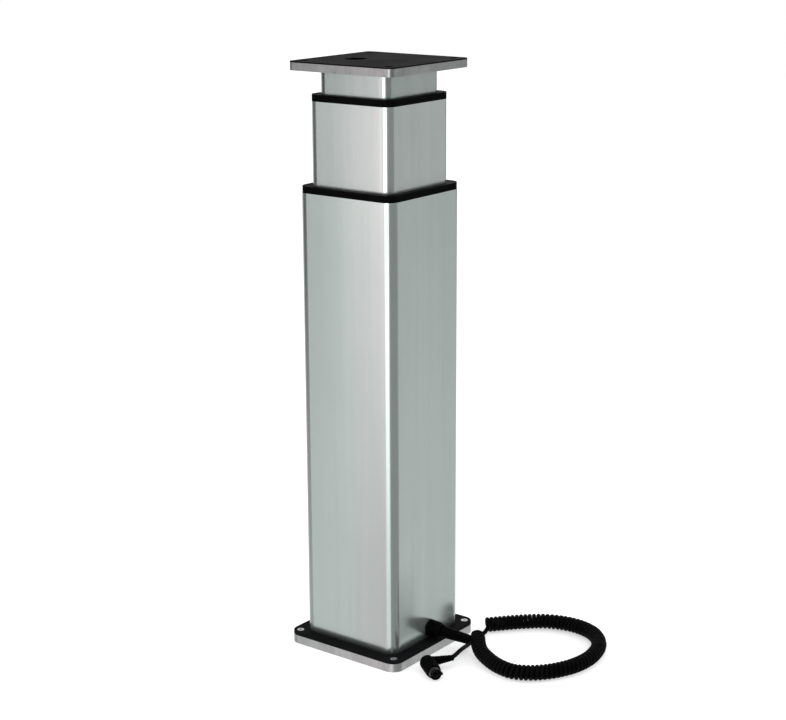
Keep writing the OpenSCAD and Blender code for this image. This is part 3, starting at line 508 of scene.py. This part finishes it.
PLUG_PLACE = Matrix.Translation(Vector((98.6, -46.1, 9)) * MM) @ Matrix.Rotation(math.radians(-37), 4, "Z")
PLUG_R = 8.8
PLUG_BACK, PLUG_FRONT = 1.5, 27
RIB_PLACES = (8, 10.6, 13.2, 15.8, 18.4)
RIB_DEPTH = 0.5
SOCKET_R = 6.7
BOOT_R, BOOT_LENGTH, BOOT_TIP = 6.4, 31, 3.6
BOOT_RINGS, BOOT_RING_STEP = 7, 3
LATCH_SIZE = Vector((9, 3.2, 3)) * MM
LATCH_PLACE = Vector((22.5, 8.9, -3.5)) * MM


def spin_profile(bm, profile, steps, matrix):
    """Turns a profile of (along, out) pairs in millimetres round its own along axis, which matrix then places
    as X."""
    verts = [bm.verts.new((along * MM, out * MM, 0)) for along, out in profile]
    edges = [bm.edges.new(pair) for pair in zip(verts, verts[1:])]
    bmesh.ops.spin(bm, geom=verts + edges, cent=(0, 0, 0), axis=(1, 0, 0), angle=math.tau, steps=steps,
                   use_merge=True)
    bmesh.ops.remove_doubles(bm, verts=bm.verts[:], dist=0.005 * MM)
    bmesh.ops.transform(bm, matrix=matrix, verts=bm.verts[:])


def arc(centre, radius, start, end, steps):
    """Points of an arc in a profile, from start to end degrees."""
    return [(centre[0] + radius * math.cos(math.radians(start + (end - start) * k / steps)),
             centre[1] + radius * math.sin(math.radians(start + (end - start) * k / steps)))
            for k in range(steps + 1)]


def make_plug_body():
    """The plug's grip: a domed back, five grooves, a plain collar and the seat of the metal shield."""
    bm = bmesh.new()
    grip = arc((PLUG_BACK, 0), PLUG_R, 180, 92, 9)
    grip[0] = (PLUG_BACK - PLUG_R, 0)
    low = PLUG_R - RIB_DEPTH
    for x in RIB_PLACES:
        grip += [(x, PLUG_R), (x + 0.4, low), (x + 1.2, low), (x + 1.6, PLUG_R)]
    grip += [(21.5, PLUG_R), (22, low), (PLUG_FRONT - 1, low), (PLUG_FRONT, PLUG_R - 1.3),
             (PLUG_FRONT, SOCKET_R), (PLUG_FRONT - 2, SOCKET_R - 0.08), (PLUG_FRONT - 2, 0)]
    spin_profile(bm, grip, 40, PLUG_PLACE)
    return finish_piece("plug_grip", bm, mould_black, "base", ["plug_body"])


def make_plug_boot():
    """The flexible boot at the plug's back: a tapering neck cut into short rings."""
    bm = bmesh.new()
    end = CORD_D / 2 / MM + 0.8
    neck = [(0, 0), (0, BOOT_R)]
    for k in range(BOOT_RINGS):
        a = 9 + k * BOOT_RING_STEP
        r = BOOT_R + (end - BOOT_R) * a / BOOT_LENGTH
        neck += [(a, r), (a + 0.25, r - 0.7), (a + 1.1, r - 0.75), (a + 1.35, r - 0.12)]
    neck += [(BOOT_LENGTH - 0.6, end), (BOOT_LENGTH, end - 0.5), (BOOT_LENGTH, 0)]
    tilt = Matrix.Rotation(math.radians(90), 4, "Z") @ Matrix.Rotation(math.radians(-BOOT_TIP), 4, "Y")
    spin_profile(bm, neck, 28, PLUG_PLACE @ tilt)
    return finish_piece("plug_boot", bm, mould_black, "base")


def make_plug_latch():
    """The small press tab on the grip's side, near the front."""
    bm = bmesh.new()
    bmesh.ops.create_cube(bm, size=1.0)
    bmesh.ops.scale(bm, vec=LATCH_SIZE, verts=bm.verts)
    bmesh.ops.bevel(bm, geom=bm.edges[:], offset=0.7 * MM, segments=3, profile=0.5, affect="EDGES",
                    material=-1)
    low = [v for v in bm.verts if v.co.x < 0]
    bmesh.ops.translate(bm, vec=Vector((0, -1.3, 0)) * MM, verts=low)
    bmesh.ops.transform(bm, matrix=PLUG_PLACE @ Matrix.Translation(LATCH_PLACE), verts=bm.verts)
    return finish_piece("plug_latch", bm, mould_black, "base")


plug_body = make_plug_body()
plug_boot = make_plug_boot()
plug_latch = make_plug_latch()
plug_shell = dress("plug_shield", black_steel, 0.15)
paint(dull_pins, "plug_pins")


# ---------------------------------------------------------------- gland

DOME_R, NOSE_R, DOME_BORE_R = 9.2, 5.2, 2.9
GRIP_END = 6.6
FLUTES = 12
FLUTE_DEPTH = 0.945


def make_gland_cap():
    """The gland's dome nut: a fluted grip behind a rounded nose."""
    bm = bmesh.new()
    profile = [(0, DOME_BORE_R), (0, DOME_R - 0.6), (0.6, DOME_R), (GRIP_END, DOME_R)]
    profile += arc((GRIP_END, DOME_R - NOSE_R), NOSE_R, 90, 46.25, 5)
    profile += [(GLAND_DOME - 0.6, 7.55), (GLAND_DOME, SLEEVE_R), (GLAND_DOME, DOME_BORE_R), (0, DOME_BORE_R)]
    spin_profile(bm, profile, 72, Matrix.Identity(4))
    for v in bm.verts:
        out = Vector((v.co.y, v.co.z))
        flute = math.cos(math.atan2(out.y, out.x) * FLUTES) > 0.5
        if flute and (DOME_R - 0.6) * MM < out.length and 1 * MM < v.co.x < (GRIP_END + 0.1) * MM:
            v.co.y *= FLUTE_DEPTH
            v.co.z *= FLUTE_DEPTH
    place = Matrix.Translation(Vector((GLAND_X + GLAND_HEX, GLAND_Y, GLAND_Z)) * MM)
    bmesh.ops.transform(bm, matrix=place, verts=bm.verts)
    return finish_piece("gland_dome", bm, mould_black, "base", ["gland_cap"])


make_gland_cap()
dress("gland_body", mould_black, 0.5)
paint(mould_black, "gland_locknut")
paint(sheath_black, "inner_lead")

# ---------------------------------------------------------------- tubes, rings and plates

PORT_D, PORT_X, PORT_Y = 25, -24, -10
LINER_WALL = 1.0

dress("outer_tube", outer_anodised)
dress("mid_tube", mid_anodised)
dress("inner_tube", inner_anodised_painted_shade)
dress("outer_ring", mould_black, 1.3)
dress("mid_ring", mould_black, 1.3)
dress("base_plate", base_aluminium, 0.4)
dress("base_cover", coat_black, 0.5)
dress("top_plate", top_aluminium, 0.4)
dress("top_cover", coat_black, 0.3)
dress("corner_screws", zinc_steel, 0.15)


def make_port_liner():
    """A thin black bush that lines the top plate's round port and makes the port's wall dark."""
    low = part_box("top_plate")[0].z / MM
    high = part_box("top_cover")[1].z / MM
    outer, inner = PORT_D / 2 - 0.05, PORT_D / 2 - LINER_WALL
    profile = [(low, inner), (low, outer), (high - 0.3, outer), (high - 0.1, outer - 0.3),
               (high - 0.1, inner + 0.3), (high - 0.4, inner), (low, inner)]
    bm = bmesh.new()
    turn = Matrix.Translation(Vector((PORT_X, PORT_Y, 0)) * MM) @ Matrix.Rotation(math.radians(-90), 4, "Y")
    spin_profile(bm, profile, 48, turn)
    return finish_piece("port_liner", bm, mould_black, "inner_stage")


make_port_liner()

# ---------------------------------------------------------------- the drive and the moving stages inside

paint(zinc_steel, "base_screws", "drive_screws", "mid_screws", "inner_screws")
paint(ground_steel, "drive_posts", "motor_shaft", "planet_pins", "thrust_washer_lower", "thrust_washer_upper",
      "thrust_balls", "drive_rod", "sun_gear")
paint(milled_aluminium, "drive_flange", "gear_cover", "mid_plate", "inner_plate", "bearing_housing")
paint(black_steel, "motor_can")
paint(acetal_white, "motor_end_bell", "nut_lower", "nut_upper", "mid_glides", "inner_glides")
paint(nylon_gear, "planet_gear_1", "planet_gear_2", "planet_gear_3")
paint(ferrite, "motor_magnets")
paint(carbon_block, "motor_brushes")
paint(board_green, "sensor_board")
paint(winding_copper, "armature", "commutator")
paint(sintered_bronze, "cover_bush", "drive_bush", "upper_bush")
paint(rolled_steel, "gear_housing", "planet_carrier", "spindle_plug", "spindle_lower", "spindle_upper")


# ---------------------------------------------------------------- floor, world and lamps

FLOOR_GLOW = 0.5
FLOOR_HALF = 6
LAMP_AIM = Vector((0, 0, 0.35))


def make_floor():
    """A plain pale floor, a little brighter where it is seen. The metal mirrors the cards, not the floor."""
    bm = bmesh.new()
    bmesh.ops.create_grid(bm, x_segments=1, y_segments=1, size=FLOOR_HALF)
    mesh = bpy.data.meshes.new("floor")
    bm.to_mesh(mesh)
    bm.free()
    material = bpy.data.materials.new("floor_pale")
    material.use_nodes = True
    tree = material.node_tree
    shader = tree.nodes["Principled BSDF"]
    shader.inputs["Base Color"].default_value = (0.86, 0.86, 0.86, 1)
    shader.inputs["Roughness"].default_value = 0.9
    shader.inputs["Specular IOR Level"].default_value = 0.1
    ray = add(tree, "LightPath")
    glow = add(tree, "Emission", {"Color": (1, 1, 1, 1)})
    seen = add(tree, "Math", {1: FLOOR_GLOW}, operation="MULTIPLY")
    total = add(tree, "AddShader")
    tree.links.new(ray.outputs["Is Camera Ray"], seen.inputs[0])
    tree.links.new(seen.outputs[0], glow.inputs["Strength"])
    tree.links.new(shader.outputs[0], total.inputs[0])
    tree.links.new(glow.outputs[0], total.inputs[1])
    tree.links.new(total.outputs[0], tree.nodes["Material Output"].inputs["Surface"])
    mesh.materials.append(material)
    floor = bpy.data.objects.new("floor", mesh)
    bpy.context.scene.collection.objects.link(floor)
    floor.visible_glossy = False


def make_world(soft):
    """White where it is seen or mirrored, and a softer white where it only lights."""
    world = bpy.data.worlds.new("studio")
    bpy.context.scene.world = world
    world.use_nodes = True
    tree = world.node_tree
    back = tree.nodes["Background"]
    back.inputs["Color"].default_value = (1, 1, 1, 1)
    ray = add(tree, "LightPath")
    either = add(tree, "Math", operation="MAXIMUM")
    seen = add(tree, "Math", operation="MAXIMUM")
    strength = add(tree, "MapRange", {"To Min": soft, "To Max": 1.0})
    tree.links.new(ray.outputs["Is Camera Ray"], either.inputs[0])
    tree.links.new(ray.outputs["Is Glossy Ray"], either.inputs[1])
    tree.links.new(either.outputs[0], seen.inputs[0])
    tree.links.new(ray.outputs["Is Transmission Ray"], seen.inputs[1])
    tree.links.new(seen.outputs[0], strength.inputs["Value"])
    tree.links.new(strength.outputs["Result"], back.inputs["Strength"])


def make_lamp(name, azimuth, height, distance, size, power):
    """A soft rectangular lamp that looks at the column, azimuth degrees to the right of the front."""
    data = bpy.data.lights.new(name, "AREA")
    data.shape = "RECTANGLE"
    data.size, data.size_y = size
    data.energy = power
    lamp = bpy.data.objects.new(name, data)
    turn = math.radians(azimuth)
    at = Vector((math.sin(turn) * distance, -math.cos(turn) * distance, height))
    aim = (LAMP_AIM - at).to_track_quat("-Z", "Y")
    lamp.matrix_world = Matrix.Translation(at) @ aim.to_matrix().to_4x4()
    bpy.context.scene.collection.objects.link(lamp)


def round_foot(start, end, distance=0.42, steps=12):
    """The foot of a card that curves round the column, from start to end degrees, where the front is 0 and
    the right 90."""
    turns = [math.radians(start + (end - start) * k / steps) for k in range(steps + 1)]
    return [(math.sin(turn) * distance, -math.cos(turn) * distance) for turn in turns]


def make_card(name, foot, low_tone, high_tone, tint=(1, 1, 1), low=-0.4, high=1.5, rise=(-0.05, 0.45)):
    """An upright card from low to high. Its glow goes from low_tone to high_tone between the two heights of
    rise. It is there for the metal to mirror, and neither shows nor shades anything."""
    bm = bmesh.new()
    corners = [bm.verts.new((x, y, low)) for x, y in foot]
    edges = [bm.edges.new(pair) for pair in zip(corners, corners[1:])]
    made = bmesh.ops.extrude_edge_only(bm, edges=edges)["geom"]
    raised = [g for g in made if isinstance(g, bmesh.types.BMVert)]
    bmesh.ops.translate(bm, vec=(0, 0, high - low), verts=raised)
    mesh = bpy.data.meshes.new(name)
    bm.to_mesh(mesh)
    bm.free()
    material = bpy.data.materials.new(name)
    material.use_nodes = True
    tree = material.node_tree
    glow = add(tree, "Emission", {"Color": (*tint, 1)})
    where = add(tree, "TexCoord")
    parts = add(tree, "SeparateXYZ")
    tone = add(tree, "MapRange", {"From Min": rise[0], "From Max": rise[1], "To Min": low_tone,
                                  "To Max": high_tone})
    tree.links.new(where.outputs["Object"], parts.inputs[0])
    tree.links.new(parts.outputs["Z"], tone.inputs["Value"])
    tree.links.new(tone.outputs["Result"], glow.inputs["Strength"])
    tree.links.new(glow.outputs[0], tree.nodes["Material Output"].inputs["Surface"])
    mesh.materials.append(material)
    card = bpy.data.objects.new(name, mesh)
    bpy.context.scene.collection.objects.link(card)
    card.visible_camera = False
    card.visible_diffuse = False
    card.visible_shadow = False
    card.visible_transmission = False


make_floor()
make_world(soft=0.8)
make_lamp("key_left", -40, 1.3, 2.2, (1.4, 1.6), 12)
make_lamp("fill_right", 120, 1.1, 2.6, (1.2, 1.6), 12)
make_card("back_card_left", round_foot(-150, -84), 0.8, 0.75)
make_card("dark_card_left", round_foot(-84, -43), 0.5, 0.0)
make_card("grey_card_left", round_foot(-43, -34), 0.95, 0.8)
make_card("pale_card", round_foot(-30, 2), 0.93, 1.66, (1.0, 0.86, 0.9))
make_card("bright_card", round_foot(10, 38), 1.3, 3.3)
make_card("dark_card_right", round_foot(40, 117), 0.32, 0.28)
make_card("grey_card_right", [(0.1, -0.03), (0.1, 0.26)], 0.78, 0.575, low=-0.05, rise=(0.05, 0.6))
make_card("shade_card_right", [(0.099, -0.03), (0.099, 0.02)], 0.42, 0.77, low=0.004, high=0.1,
          rise=(0.01, 0.1))
make_card("dark_card_back", round_foot(150, 178), 0.9, 0.25)

bpy.context.scene.view_settings.view_transform = "Standard"
